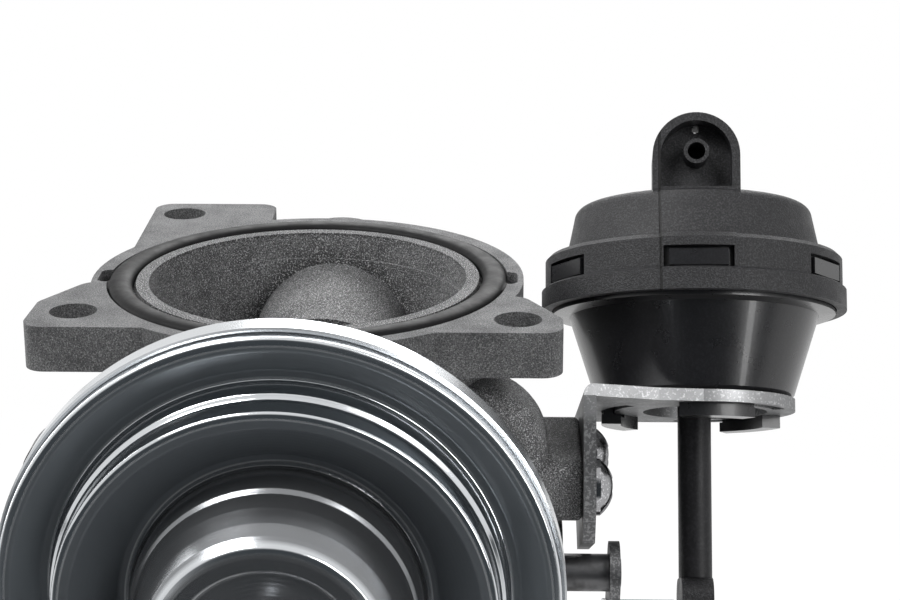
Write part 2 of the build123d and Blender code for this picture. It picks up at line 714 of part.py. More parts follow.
PISTON_S = ROD_TOP - 0.6 + DIAPHRAGM_T
with BuildPart() as actuator_piston:
    piston_outline = (
        (2.0, PISTON_S),
        (14.2, PISTON_S),
        (15.2, PISTON_S + 4.0),
        (15.2, PISTON_S + 6.5),
        (13.9, PISTON_S + 6.5),
        (13.9, PISTON_S + 1.6),
        (6.4, PISTON_S + 1.6),
        (5.6, PISTON_S + 4.2),
        (4.0, PISTON_S + 4.2),
        (4.0, PISTON_S + 1.8),
        (2.0, PISTON_S + 1.8),
    )
    revolve(polygon_face(ACT_SECTION, piston_outline), axis=ACT_AXIS)
export(actuator_piston, "actuator_piston")

with BuildPart() as rod_washer:
    extrude(ring_face(ACT_FACE.offset(PISTON_S + 1.8), 3.8, 2.0), amount=1.0)
export(rod_washer, "rod_washer")

CAP_WALL = 2.0
ACT_COIL_R = 11.0
ACT_WIRE_R = 0.9
ACT_SPRING_LOW = PISTON_S + 1.6 + ACT_WIRE_R
ACT_SPRING_HIGH = CAP_TOP - CAP_WALL - 0.6 - ACT_WIRE_R
with BuildPart() as actuator_spring:
    with BuildLine() as act_spring_line:
        act_coil = Helix(
            pitch=(ACT_SPRING_HIGH - ACT_SPRING_LOW) / 5,
            height=ACT_SPRING_HIGH - ACT_SPRING_LOW,
            radius=ACT_COIL_R,
            center=ACT_FACE.offset(ACT_SPRING_LOW).origin,
            direction=UP,
        )
    with BuildSketch(Plane(origin=act_coil @ 0, z_dir=act_coil % 0)):
        Circle(ACT_WIRE_R)
    sweep(path=act_spring_line.line, is_frenet=True)
export(actuator_spring, "actuator_spring")

# ---------------------------------------------------------------- actuator, fixed pieces
FOLD_X = BOSS_X - ROD_X
HOLE_R = 11.5
SLOT_IN_R = 14.9
SLOT_OUT_R = 17.3
with BuildPart() as actuator_bracket:
    leg_outline = (
        (-17.8, PLATE_S),
        (-17.8, -20.0),
        (-12.5, -26.0),
        (12.0, -26.0),
        (27.4, -9.0),
        (27.4, PLATE_S),
    )
    extrude(polygon_face(SIDE_FACE.offset(BOSS_X), leg_outline), amount=PLATE_T)
    with BuildSketch(ACT_FACE):
        with BuildLine():
            arc = CenterArc((0, 0), 18.7, -90, 180)
            Polyline(arc @ 0, (-8, -20.0), (FOLD_X, -26.5), (FOLD_X, 18.7), arc @ 1)
        make_face()
    extrude(amount=PLATE_T)
    fold = actuator_bracket.edges().filter_by(lambda e: abs(e.center().X - BOSS_X) < 0.01)
    fillet(fold.sort_by(Axis(ACT_AT, UP))[-1], 2.0)
    with BuildSketch(ACT_FACE):
        with Locations((2, 0)):
            Circle(HOLE_R)
    extrude(amount=PLATE_T, mode=Mode.SUBTRACT)
    for angle in HOOK_ANGLES:
        extrude(arc_slot_face(ACT_FACE, SLOT_IN_R, SLOT_OUT_R, angle - 25, 62), amount=PLATE_T, mode=Mode.SUBTRACT)
    with BuildSketch(Plane.YZ.offset(BOSS_X)):
        with Locations(*[(y, SCREW_Z) for y in SCREW_YS]):
            Circle(SCREW_R + 0.2)
    extrude(amount=PLATE_T, mode=Mode.SUBTRACT)
export(actuator_bracket, "actuator_bracket")

with BuildPart() as bracket_screws:
    for y in SCREW_YS:
        head_x = BOSS_X + PLATE_T
        with BuildSketch(Plane(origin=(0, y, SCREW_Z), x_dir=(1, 0, 0), z_dir=(0, -1, 0))) as screw_half:
            with BuildLine():
                Polyline(
                    (head_x + SCREW_HEAD_H, 0),
                    (BOSS_X - 11, 0),
                    (BOSS_X - 11, SCREW_R),
                    (head_x, SCREW_R),
                    (head_x, SCREW_HEAD_R),
                    (head_x + 1.0, SCREW_HEAD_R),
                )
                ThreePointArc(
                    (head_x + 1.0, SCREW_HEAD_R),
                    (head_x + SCREW_HEAD_H - 0.582, 2.7),
                    (head_x + SCREW_HEAD_H, 0),
                )
            make_face()
        revolve(screw_half.sketch, axis=Axis((0, y, SCREW_Z), (1, 0, 0)))
    with BuildSketch(Plane.YZ.offset(BOSS_X + PLATE_T + SCREW_HEAD_H + 1)):
        with Locations(*[(y, SCREW_Z) for y in SCREW_YS]):
            RegularPolygon(2.2, 6)
    extrude(amount=-3.2, mode=Mode.SUBTRACT)
export(bracket_screws, "bracket_screws")

with BuildPart() as actuator_lower_housing:
    cone_outline = (
        (ROD_R + GAP, PLATE_T),
        (17.6, PLATE_T),
        (18.6, PLATE_T + 0.8),
        (23.3, SEAM_S - 1.1),
        (26.4, SEAM_S - 0.7),
        (26.4, SEAM_S + 8.3),
        (25.0, SEAM_S + 8.3),
        (24.6, SEAM_S + 0.9),
        (21.8, SEAM_S + 0.7),
        (20.9, SEAM_S - 0.3),
        (16.9, PLATE_T + 1.6),
        (ROD_R + 2.2, PLATE_T + 1.6),
        (ROD_R + GAP, PLATE_T + 1.6),
    )
    revolve(polygon_face(ACT_SECTION, cone_outline), axis=ACT_AXIS)
    # latch lugs that stand in the cap's windows
    with BuildSketch(ACT_FACE.offset(WINDOW_S - WINDOW_H / 2 + 0.3)):
        with PolarLocations(26.4, 6, start_angle=-90 - HOOD_TURN):
            Rectangle(2.0, WINDOW_W - 2.0)
    extrude(amount=WINDOW_H - 0.9)
    # bayonet hooks under the bracket
    for angle in HOOK_ANGLES:
        neck = arc_slot_face(ACT_FACE.offset(PLATE_T), SLOT_IN_R + 0.3, SLOT_OUT_R - 0.3, angle - 24, 26)
        extrude(neck, amount=-PLATE_T - HOOK_DROP)
        foot = arc_slot_face(ACT_FACE, SLOT_IN_R - 1.2, SLOT_OUT_R, angle - 46, 48)
        extrude(foot, amount=-HOOK_DROP)
        extrude(arc_slot_face(ACT_FACE, SLOT_IN_R - 2, SLOT_OUT_R + 1, angle - 24, 27), amount=-0.6, mode=Mode.SUBTRACT)
        extrude(neck, amount=-PLATE_T - HOOK_DROP)
export(actuator_lower_housing, "actuator_lower_housing")

HOOD_HALF = HOOD_W / 2
RECESS_HALF = HOOD_HALF - HOOD_WALL
RECESS_FLOOR = HOOD_FRONT - RECESS_DEPTH
HOOD_TOP = CAP_TOP + 13.8
NIPPLE_S = CAP_TOP + 6.5
PASSAGE_AT = HOOD_FRONT - HOOD_DEPTH + 2.7
with BuildPart() as front_panel:
    panel_outline = (
        (21.85, CAP_TOP - 0.9),
        (22.45, CAP_TOP - 2.3),
        (23.95, SEAM_S + 10.75),
        (27.05, SEAM_S + 10.4),
        (27.95, SEAM_S + 9.5),
        (27.95, SEAM_S + 4.2),
        (27.0, SEAM_S + 4.2),
        (27.0, SEAM_S + 9.1),
        (26.4, SEAM_S + 9.8),
        (23.0, SEAM_S + 10.1),
        (21.6, CAP_TOP - 2.3),
        (21.2, CAP_TOP - 0.9),
    )
    revolve(polygon_face(ACT_SECTION, panel_outline), axis=ACT_AXIS)
    with BuildSketch(HOOD_PLANE):
        with Locations((0, CAP_TOP / 2)):
            Rectangle(PANEL_W, 2 * CAP_TOP)
    extrude(amount=30, mode=Mode.INTERSECT)

with BuildPart() as actuator_cap:
    with BuildSketch(ACT_SECTION):
        with BuildLine():
            Polyline(
                (0, CAP_TOP - CAP_WALL),
                (20.0, CAP_TOP - CAP_WALL - 0.6),
                (21.8, SEAM_S + 10.1),
                (21.8, SEAM_S + 1.9),
                (24.3, SEAM_S + 1.9),
                (24.3, SEAM_S + 8.7),
                (26.6, SEAM_S + 8.7),
                (26.6, SEAM_S),
                (28.5, SEAM_S),
                (28.5, SEAM_S + 3.7),
                (27.8, SEAM_S + 4.2),
                (27.8, SEAM_S + 9.4),
                (27.0, SEAM_S + 10.2),
                (23.8, SEAM_S + 10.6),
                (22.3, CAP_TOP - 2.3),
            )
            ThreePointArc((22.3, CAP_TOP - 2.3), (21.6, CAP_TOP - 0.9), (20.2, CAP_TOP - 0.3))
            Line((20.2, CAP_TOP - 0.3), (0, CAP_TOP))
            Line((0, CAP_TOP), (0, CAP_TOP - CAP_WALL))
        make_face()
    revolve(axis=ACT_AXIS)
    add(front_panel.part)
    # arched hood over the hose nipple
    hood = arch_face(HOOD_PLANE.offset(HOOD_FRONT), HOOD_HALF, CAP_TOP - 1.2, HOOD_TOP)
    extrude(hood, amount=-HOOD_DEPTH)
    recess = arch_face(HOOD_PLANE.offset(HOOD_FRONT + 2), RECESS_HALF, CAP_TOP + 0.1, HOOD_TOP - HOOD_WALL)
    extrude(recess, amount=-RECESS_DEPTH - 2, mode=Mode.SUBTRACT)
    with BuildSketch(HOOD_PLANE.offset(RECESS_FLOOR - 0.5)):
        with Locations((0, NIPPLE_S)):
            Circle(NIPPLE_R)
    extrude(amount=NIPPLE_L + 0.5)
    with BuildSketch(HOOD_PLANE.offset(PASSAGE_AT)):
        with Locations((0, NIPPLE_S)):
            Circle(NIPPLE_R - 0.7)
    extrude(amount=RECESS_FLOOR - PASSAGE_AT + NIPPLE_L + 1, mode=Mode.SUBTRACT)
    with BuildSketch(ACT_FACE.offset(CAP_TOP - CAP_WALL - 1.5)):
        with Locations((-PASSAGE_AT * sin(radians(HOOD_TURN)), -PASSAGE_AT * cos(radians(HOOD_TURN)))):
            Circle(PASSAGE_R)
    extrude(amount=NIPPLE_S - CAP_TOP + CAP_WALL + 1.5, mode=Mode.SUBTRACT)
    with BuildSketch(HOOD_PLANE):
        with Locations((0, NIPPLE_S + 5.0)):
            RectangleRounded(1.4, 1.4, 0.6)
    extrude(amount=HOOD_FRONT, mode=Mode.SUBTRACT)
    # windows around the collar
    with BuildSketch(ACT_FACE.offset(WINDOW_S - WINDOW_H / 2)):
        with PolarLocations(27.5, 6, start_angle=-90 - HOOD_TURN):
            Rectangle(3.4, WINDOW_W)
    extrude(amount=WINDOW_H, mode=Mode.SUBTRACT)
export(actuator_cap, "actuator_cap")
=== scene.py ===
import json
from math import cos, pi, radians, sin

import bpy
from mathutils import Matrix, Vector


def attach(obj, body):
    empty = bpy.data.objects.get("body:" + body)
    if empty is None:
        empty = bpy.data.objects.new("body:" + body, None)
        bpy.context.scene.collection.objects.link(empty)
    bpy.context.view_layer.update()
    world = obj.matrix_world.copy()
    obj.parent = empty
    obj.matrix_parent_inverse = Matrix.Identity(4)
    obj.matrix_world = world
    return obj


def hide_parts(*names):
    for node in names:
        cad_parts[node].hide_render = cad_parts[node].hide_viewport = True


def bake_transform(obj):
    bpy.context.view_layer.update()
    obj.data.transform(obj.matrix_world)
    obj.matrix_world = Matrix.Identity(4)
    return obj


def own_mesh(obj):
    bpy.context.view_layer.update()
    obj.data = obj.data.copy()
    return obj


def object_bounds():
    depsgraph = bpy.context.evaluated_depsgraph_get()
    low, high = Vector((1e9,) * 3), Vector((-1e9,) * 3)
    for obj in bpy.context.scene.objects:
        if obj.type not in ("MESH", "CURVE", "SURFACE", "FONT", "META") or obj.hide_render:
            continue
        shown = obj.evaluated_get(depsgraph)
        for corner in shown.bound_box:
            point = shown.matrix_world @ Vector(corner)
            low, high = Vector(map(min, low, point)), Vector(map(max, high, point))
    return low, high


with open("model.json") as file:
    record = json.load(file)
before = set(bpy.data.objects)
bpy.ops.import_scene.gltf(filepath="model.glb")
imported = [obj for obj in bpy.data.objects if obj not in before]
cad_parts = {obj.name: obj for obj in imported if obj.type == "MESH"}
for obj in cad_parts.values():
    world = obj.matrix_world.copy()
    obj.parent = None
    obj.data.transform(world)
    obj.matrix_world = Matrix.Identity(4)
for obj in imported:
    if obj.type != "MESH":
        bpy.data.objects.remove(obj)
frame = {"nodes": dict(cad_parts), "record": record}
CAD_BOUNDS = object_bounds()
NODES = frame["nodes"]
SLOT_OF = {part["node"]: part["material_slot"] for part in frame["record"]["subparts"]}
MM = 0.001

# the gas valve's axis runs along -Y, the actuator's leans back in the YZ plane
VALVE_X = 0.0027
VALVE_Z = -0.0217
LEAN = radians(27.0)
UP = Vector((0.0, sin(LEAN), cos(LEAN)))
BACK = Vector((0.0, cos(LEAN), -sin(LEAN)))
ACTUATOR_AT = Vector((0.071, 0.0075248, -0.0283952))
HOOD_TURN = radians(3.0)
HOOD_ACROSS = Vector((cos(HOOD_TURN), 0.0, 0.0)) - BACK * sin(HOOD_TURN)
HOOD_OUT = Vector((-sin(HOOD_TURN), 0.0, 0.0)) - BACK * cos(HOOD_TURN)


# ------------------------------------------------------------ node graphs
class Graph:
    """Short ways to add and join the nodes of a material or of the world."""

    def __init__(self, tree):
        self.nodes = tree.nodes
        self.links = tree.links

    def feed(self, socket, value):
        """Links a socket to another node's output, or sets it to a constant."""
        if isinstance(value, bpy.types.NodeSocket):
            self.links.new(value, socket)
        else:
            socket.default_value = value

    def math(self, operation, *values):
        node = self.nodes.new("ShaderNodeMath")
        node.operation = operation
        for socket, value in zip(node.inputs, values):
            self.feed(socket, value)
        return node.outputs["Value"]

    def remap(self, value, low, high, to_low=0.0, to_high=1.0, smooth=False):
        """Carries low..high over to to_low..to_high, and holds the end values outside."""
        node = self.nodes.new("ShaderNodeMapRange")
        if smooth:
            node.interpolation_type = "SMOOTHSTEP"
        node.inputs["From Min"].default_value = low
        node.inputs["From Max"].default_value = high
        node.inputs["To Min"].default_value = to_low
        node.inputs["To Max"].default_value = to_high
        self.links.new(value, node.inputs["Value"])
        return node.outputs["Result"]

    def split(self, vector):
        node = self.nodes.new("ShaderNodeSeparateXYZ")
        self.links.new(vector, node.inputs["Vector"])
        return node.outputs["X"], node.outputs["Y"], node.outputs["Z"]

    def radius(self, first, second):
        square = self.math("MULTIPLY_ADD", first, first, self.math("MULTIPLY", second, second))
        return self.math("SQRT", square)

    def mix_colors(self, factor, first, second):
        node = self.nodes.new("ShaderNodeMix")
        node.data_type = "RGBA"
        self.feed(node.inputs["A"], first)
        self.feed(node.inputs["B"], second)
        self.links.new(factor, node.inputs["Factor"])
        return node.outputs["Result"]

    def mix_shaders(self, factor, first, second):
        node = self.nodes.new("ShaderNodeMixShader")
        self.links.new(factor, node.inputs["Fac"])
        self.links.new(first, node.inputs[1])
        self.links.new(second, node.inputs[2])
        return node.outputs["Shader"]


class Shader(Graph):
    """A principled material with procedural detail in object space."""

    def __init__(self, name, color, roughness, metallic=0.0, coat=0.0, specular=0.5):
        self.material = bpy.data.materials.new(name)
        self.material.use_nodes = True
        self.material.diffuse_color = (*color, 1.0)
        super().__init__(self.material.node_tree)
        self.base = self.nodes["Principled BSDF"]
        self.base.inputs["Base Color"].default_value = (*color, 1.0)
        self.base.inputs["Roughness"].default_value = roughness
        self.base.inputs["Metallic"].default_value = metallic
        self.base.inputs["Coat Weight"].default_value = coat
        self.base.inputs["Specular IOR Level"].default_value = specular
        self.coords = self.nodes.new("ShaderNodeTexCoord").outputs["Object"]
        self.color = (*color, 1.0)
        self.normal = None

    def noise(self, scale, detail, rough, stretch=None):
        node = self.nodes.new("ShaderNodeTexNoise")
        node.inputs["Scale"].default_value = scale
        node.inputs["Detail"].default_value = detail
        node.inputs["Roughness"].default_value = rough
        source = self.coords
        if stretch:
            mapping = self.nodes.new("ShaderNodeMapping")
            mapping.inputs["Scale"].default_value = stretch
            self.links.new(source, mapping.inputs["Vector"])
            source = mapping.outputs["Vector"]
        self.links.new(source, node.inputs["Vector"])
        return node.outputs["Fac"]

    def tint(self, factor, color):
        """Mixes the colour so far with another, by factor."""
        self.color = self.mix_colors(factor, self.color, (*color, 1.0))
        self.links.new(self.color, self.base.inputs["Base Color"])

    def roughen(self, value):
        self.links.new(value, self.base.inputs["Roughness"])

    def bump(self, value, strength, distance):
        node = self.nodes.new("ShaderNodeBump")
        node.inputs["Strength"].default_value = strength
        node.inputs["Distance"].default_value = distance
        self.links.new(value, node.inputs["Height"])
        if self.normal is not None:
            self.links.new(self.normal, node.inputs["Normal"])
        self.normal = node.outputs["Normal"]
        self.links.new(self.normal, self.base.inputs["Normal"])

    def valve_radius(self):
        """Distance from the gas valve's axis, in metres."""
        x, _, z = self.split(self.coords)
        return self.radius(self.math("SUBTRACT", x, VALVE_X), self.math("SUBTRACT", z, VALVE_Z))

    def along(self, direction, origin):
        """Distance from a point along a direction, in metres."""
        node = self.nodes.new("ShaderNodeVectorMath")
        node.operation = "DOT_PRODUCT"
        node.inputs[1].default_value = tuple(direction)
        self.links.new(self.coords, node.inputs[0])
        return self.math("SUBTRACT", node.outputs["Value"], direction.dot(origin))

    def band(self, value, low, high, soft):
        """1 between low and high, 0 outside, with soft edges."""
        rise = self.remap(value, low - soft, low + soft)
        fall = self.remap(value, high - soft, high + soft, 1.0, 0.0)
        return self.math("MULTIPLY", rise, fall)


def scaled(color, share):
    return tuple(min(1.0, share * c) for c in color)


# ------------------------------------------------------------ materials
# Zones of the casting, in metres: the air way lies within DUCT_EDGE of the bore's axis, the
# body starts FLANGE_UNDER below the flange's face, the gas tube lies within GAS_TUBE_EDGE of
# the valve's axis, and the rim round the bore is what stands above RIM_LOW within RIM_EDGE.
DUCT_EDGE = 0.034
FLANGE_UNDER = -0.0125
GAS_TUBE_EDGE = 0.017
RIM_EDGE = 0.0315
RIM_LOW = -0.0007
SMOOTH_SHARE = 0.7
CAST_TONE = (0.045, 0.0455, 0.047)
GRAIN_TONE = (0.23, 0.232, 0.235)
BLOTCH_TONE = (0.04, 0.04, 0.042)
TUBE_SHADE_TONE = (0.025, 0.025, 0.026)
RIM_TONE = (0.02, 0.02, 0.021)
SPARKLE_TONE = (0.5, 0.502, 0.506)


def cast_metal():
    """Cast aluminium: sandy in the air way and under the flange, smoother on the flange, with painted
    shade on the gas valve's pipe inside the air way.
    """
    shader = Shader("cast_metal", CAST_TONE, 0.6, specular=0.25)
    x, y, z = shader.split(shader.coords)
    radius = shader.radius(y, x)
    bore = shader.remap(radius, DUCT_EDGE - 0.0004, DUCT_EDGE, 1.0, 0.0)
    under = shader.remap(z, FLANGE_UNDER, FLANGE_UNDER + 0.001, 1.0, 0.0)
    sand = shader.remap(shader.math("MAXIMUM", bore, under), 0.0, 1.0, SMOOTH_SHARE, 1.0)
    grain = shader.noise(3600, detail=3.0, rough=0.8)
    blotch = shader.noise(120, detail=5.0, rough=0.65)
    pits = shader.noise(4300, detail=2.0, rough=0.6)
    coarse = shader.remap(grain, 0.42, 0.62)
    shader.tint(shader.math("MULTIPLY", coarse, sand), GRAIN_TONE)
    shader.tint(shader.remap(blotch, 0.42, 0.66, 0.0, 0.6), BLOTCH_TONE)
    # painted shade: the gas tube inside the bore is darkened
    tube_shade = shader.remap(shader.valve_radius(), GAS_TUBE_EDGE, GAS_TUBE_EDGE + 0.002, 0.72, 0.0)
    shader.tint(shader.math("MULTIPLY", tube_shade, bore), TUBE_SHADE_TONE)
    rim = shader.remap(z, RIM_LOW, RIM_LOW + 0.0004, 0.0, 0.6)
    inner = shader.remap(radius, RIM_EDGE, RIM_EDGE + 0.0003, 1.0, 0.0)
    shader.tint(shader.math("MULTIPLY", rim, inner), RIM_TONE)
    sparkle = shader.remap(pits, 0.55, 0.64)
    bright = shader.remap(sand, SMOOTH_SHARE, 1.0, 0.3, 1.0)
    shader.tint(shader.math("MULTIPLY", sparkle, bright), SPARKLE_TONE)
    shader.roughen(shader.remap(blotch, 0.3, 0.7, 0.5, 0.72))
    shader.bump(grain, strength=0.8, distance=0.0003)
    shader.bump(shader.noise(480, detail=3.0, rough=0.6), strength=0.35, distance=0.0006)
    return shader.material


CHROME = (0.62, 0.64, 0.66)
# painted reflections: dark colours that stand for the unlit room mirrored in the can's faces
SLATE_REFLECTION = (0.1, 0.112, 0.122)
WELL_REFLECTION = (0.072, 0.081, 0.09)
SMOKE_REFLECTION = (0.23, 0.237, 0.246)
# each zone: radius from, radius to, tone, added roughness, metallic taken off; the first zone keeps the
# chrome's own colour, the others paint dark reflections, and the gap between the two smoke zones stays
# bright chrome as a painted highlight ring
CAN_REFLECTION_ZONES = (
    (0.0399, 0.06, CHROME, 0.1, 0.0),
    (0.0338, 0.0396, SLATE_REFLECTION, 0.22, 0.5),
    (0.0222, 0.0309, WELL_REFLECTION, 0.25, 0.68),
    (0.0171, 0.0222, SMOKE_REFLECTION, 0.08, 0.1),
    (-0.001, 0.0159, SMOKE_REFLECTION, 0.08, 0.1),
)
ZONE_EDGE = 0.00022
SPIN_LINES = 9000.0


def spun_chrome():
    """Chromed sheet with spinning rings; zones round the can's axis paint dark reflections, add roughness
    and take off metal, leaving a bright ring as a painted highlight.
    """
    shader = Shader("can_chrome", CHROME, 0.07, metallic=1.0)
    smear = shader.noise(60, detail=3.0, rough=0.5)
    scratch = shader.noise(900, detail=2.0, rough=0.5, stretch=(1.0, 6.0, 1.0))
    radius = shader.valve_radius()
    grooves = shader.noise(20, detail=1.0, rough=0.4)
    roughness = shader.remap(smear, 0.35, 0.7, 0.08, 0.17)
    shine = 1.0
    for low, high, tone, dull, flat in CAN_REFLECTION_ZONES:
        band = shader.band(radius, low, high, ZONE_EDGE)
        # paints the zone's dark reflection, or the rim's own chrome, into the colour
        shader.tint(band, tone)
        roughness = shader.math("MULTIPLY_ADD", band, dull, roughness)
        shine = shader.math("MULTIPLY_ADD", band, -flat, shine)
    shader.links.new(shine, shader.base.inputs["Metallic"])
    shader.roughen(roughness)
    rings = shader.math("SINE", shader.math("MULTIPLY", radius, SPIN_LINES))
    shader.bump(shader.math("MULTIPLY", rings, grooves), strength=0.04, distance=0.00008)
    shader.bump(shader.noise(2600, detail=2.0, rough=0.6), strength=0.03, distance=0.00004)
    shader.bump(scratch, strength=0.02, distance=0.00005)
    return shader.material


LEG_TOP = -0.003
# painted shade for the bracket below the actuator's plate
LEG_SHADE_TONE = (0.07, 0.07, 0.073)


def plated_steel(name, color, roughness, metallic, leg_shade_tone=None):
    """Plated steel with clouds and specks, and painted shade below the actuator's plate if a shade colour
    is given.
    """
    shader = Shader(name, color, roughness, metallic=metallic, specular=0.3)
    shader.base.inputs["Specular Tint"].default_value = (0.35, 0.35, 0.35, 1.0)
    cloud = shader.noise(140, detail=4.0, rough=0.6)
    speck = shader.noise(2000, detail=2.0, rough=0.6)
    shader.tint(shader.remap(cloud, 0.45, 0.72, 0.0, 0.5), scaled(color, 0.62))
    shader.tint(shader.remap(speck, 0.55, 0.68, 0.0, 0.6), scaled(color, 2.2))
    if leg_shade_tone:
        # painted shade: the bracket below the actuator's plate is darkened, its specks kept in the
        # plate's colour
        leg_shade = shader.remap(shader.along(UP, ACTUATOR_AT), LEG_TOP - 0.002, LEG_TOP, 0.75, 0.0)
        shader.tint(leg_shade, leg_shade_tone)
        shader.tint(shader.math("MULTIPLY", leg_shade, shader.remap(speck, 0.5, 0.6)), color)
    shader.roughen(shader.remap(cloud, 0.3, 0.7, roughness - 0.08, roughness + 0.12))
    shader.bump(speck, strength=0.15, distance=0.0001)
    return shader.material


def turned_steel():
    """Dark steel with fine turning lines and soot stains."""
    shader = Shader("turned_steel", (0.13, 0.13, 0.134), 0.3, metallic=0.8)
    lines = shader.noise(3000, detail=1.0, rough=0.4, stretch=(1.0, 0.05, 0.05))
    stain = shader.noise(180, detail=3.0, rough=0.6)
    shader.tint(shader.remap(stain, 0.48, 0.66, 0.0, 0.75), (0.04, 0.039, 0.038))
    shader.roughen(shader.remap(stain, 0.35, 0.65, 0.26, 0.5))
    shader.bump(lines, strength=0.1, distance=0.0001)
    return shader.material


SEAM_HALF = 0.00018
SEAM_EDGE = 0.00005
SEAM_FRONT = 0.012
DUST_SHARE = 2.2


def moulded(
    name, color, roughness, grain_scale, grain, coat=0.0, specular=0.5, dusty=0.5, seam=None, speckle=2.2
):
    """Moulded plastic or rubber with a grain and dust, and a parting line at seam if given, bumped in and
    painted black as shade.
    """
    shader = Shader(name, color, roughness, coat=coat, specular=specular)
    texture = shader.noise(grain_scale, detail=3.0, rough=0.6)
    dust = shader.noise(260, detail=4.0, rough=0.65)
    shader.tint(shader.remap(texture, 0.46, 0.66, 0.0, 0.8), scaled(color, speckle))
    shader.tint(shader.remap(dust, 0.5, 0.74, 0.0, dusty), scaled(color, DUST_SHARE))
    shader.roughen(shader.remap(dust, 0.3, 0.7, roughness - 0.12 * dusty, roughness + 0.2 * dusty))
    shader.bump(texture, strength=grain, distance=0.0002)
    if seam:
        across = shader.along(HOOD_ACROSS, ACTUATOR_AT)
        outward = shader.along(HOOD_OUT, ACTUATOR_AT)
        line = shader.band(across, seam - SEAM_HALF, seam + SEAM_HALF, SEAM_EDGE)
        front = shader.remap(outward, SEAM_FRONT, SEAM_FRONT + 0.0005)
        groove = shader.math("MULTIPLY", line, front)
        # painted shade: the parting line's groove is painted black
        shader.tint(groove, (0.0, 0.0, 0.0))
        shader.bump(shader.math("SUBTRACT", 1.0, groove), strength=1.0, distance=0.0008)
    return shader.material


def bearing_metal(name, color):
    """A copper alloy with pores."""
    shader = Shader(name, color, 0.35, metallic=1.0)
    pores = shader.noise(2400, detail=2.0, rough=0.6)
    shader.tint(shader.remap(pores, 0.55, 0.68, 0.0, 0.7), scaled(color, 0.4))
    shader.bump(pores, strength=0.2, distance=0.0001)
    return shader.material


CAP_SEAM = -0.00665
MATERIALS = {
    "casting": cast_metal(),
    "black_rubber": moulded("black_rubber", (0.0024, 0.0024, 0.0026), 0.5, 900, 0.15, specular=0.1),
    "hard_steel": turned_steel(),
    "bronze": bearing_metal("bearing_bronze", (0.42, 0.27, 0.12)),
    "fibre_gasket": moulded("gasket_fibre", (0.06, 0.056, 0.052), 0.85, 1800, 0.5),
    "can_chrome": spun_chrome(),
    "zinc_steel": plated_steel("zinc_plate", (0.27, 0.272, 0.276), 0.4, 0.75, LEG_SHADE_TONE),
    "screw_steel": plated_steel("screw_zinc", (0.36, 0.36, 0.37), 0.14, 1.0),
    "gloss_black": moulded("gloss_black", (0.006, 0.006, 0.007), 0.28, 2400, 0.05, coat=0.15, dusty=0.12),
    "matte_black": moulded(
        "matte_black", (0.0075, 0.0075, 0.0082), 0.5, 3300, 0.7, specular=0.3, seam=CAP_SEAM, speckle=6.0
    ),
    "rod_black": moulded("rod_coating", (0.009, 0.009, 0.01), 0.42, 1600, 0.18, specular=0.2),
    "brass_plate": bearing_metal("rolled_brass", (0.55, 0.42, 0.2)),
}
for name, slot in SLOT_OF.items():
    node = NODES[name]
    if not node.material_slots:
        node.data.materials.append(MATERIALS[slot])
    for entry in node.material_slots:
        entry.material = MATERIALS[slot]


# ------------------------------------------------------------ shapes of the stand-in pieces
def free_mesh(name, vertices, faces):
    mesh = bpy.data.meshes.new(name)
    mesh.from_pydata([tuple(v) for v in vertices], [], faces)
    mesh.update()
    for polygon in mesh.polygons:
        polygon.use_smooth = True
    piece = bpy.data.objects.new(name, mesh)
    bpy.context.collection.objects.link(piece)
    return piece


def grid_faces(rings, sides, closed):
    """Quads between rings of points, and from the last ring to the first one if closed."""
    faces = []
    for i in range(rings if closed else rings - 1):
        for j in range(sides):
            k, n = (i + 1) % rings, (j + 1) % sides
            faces.append((i * sides + j, k * sides + j, k * sides + n, i * sides + n))
    return faces


def powered(value, power):
    """A power of a number's size, with the number's sign."""
    return abs(value) ** power * (1 if value > 0 else -1)


SEAL_R = 0.03355
SEAL_HALF_W = 0.0022
SEAL_LOW = -0.00215
SEAL_TOP = 0.0007
SEAL_ROUNDS = 320
SEAL_SIDES = 28
WIDTH_POWER = 0.8
HEIGHT_POWER = 0.9
TAB_ANGLES = (radians(-8.0), radians(188.0))
TAB_HALF = radians(2.2)
TAB_OUT = 0.0016
TAB_TOP = 0.3


def seal_ring():
    """A round-shouldered rubber ring with its two pull tabs, in the seal groove."""
    middle = (SEAL_LOW + SEAL_TOP) / 2
    half_h = (SEAL_TOP - SEAL_LOW) / 2
    vertices = []
    for i in range(SEAL_ROUNDS):
        angle = 2 * pi * i / SEAL_ROUNDS
        bulge = 0.0
        for tab in TAB_ANGLES:
            gap = abs((angle - tab + pi) % (2 * pi) - pi)
            bulge = max(bulge, min(1.0, max(0.0, 2.0 - gap / TAB_HALF)))
        for j in range(SEAL_SIDES):
            turn = 2 * pi * j / SEAL_SIDES
            across = SEAL_HALF_W * powered(cos(turn), WIDTH_POWER)
            rise = half_h * powered(sin(turn), HEIGHT_POWER)
            if cos(turn) > 0 and rise < half_h * TAB_TOP:
                across += TAB_OUT * bulge * cos(turn)
            reach = SEAL_R + across
            vertices.append((reach * cos(angle), reach * sin(angle), middle + rise))
    return free_mesh("manifold_seal_ring", vertices, grid_faces(SEAL_ROUNDS, SEAL_SIDES, True))


def frame_of(origin, axis, across):
    """Origin, axis and the two directions square to it."""
    axis = Vector(axis).normalized()
    across = Vector(across).normalized()
    return Vector(origin), axis, across, axis.cross(across)


def between(points, longest):
    """The points of a line with more put in, so that no run is much longer than asked."""
    full = []
    for first, second in zip(points, points[1:]):
        span = max(abs(second[0] - first[0]), abs(second[1] - first[1]))
        steps = max(1, round(span / longest))
        for i in range(steps):
            full.append(tuple(a + (b - a) * i / steps for a, b in zip(first, second)))
    return full + [points[-1]]


LONGEST_RUN = 0.8
STEPS_PER_RADIAN = 16
NEARLY_ROUND = 6.28
CREASE = radians(40)


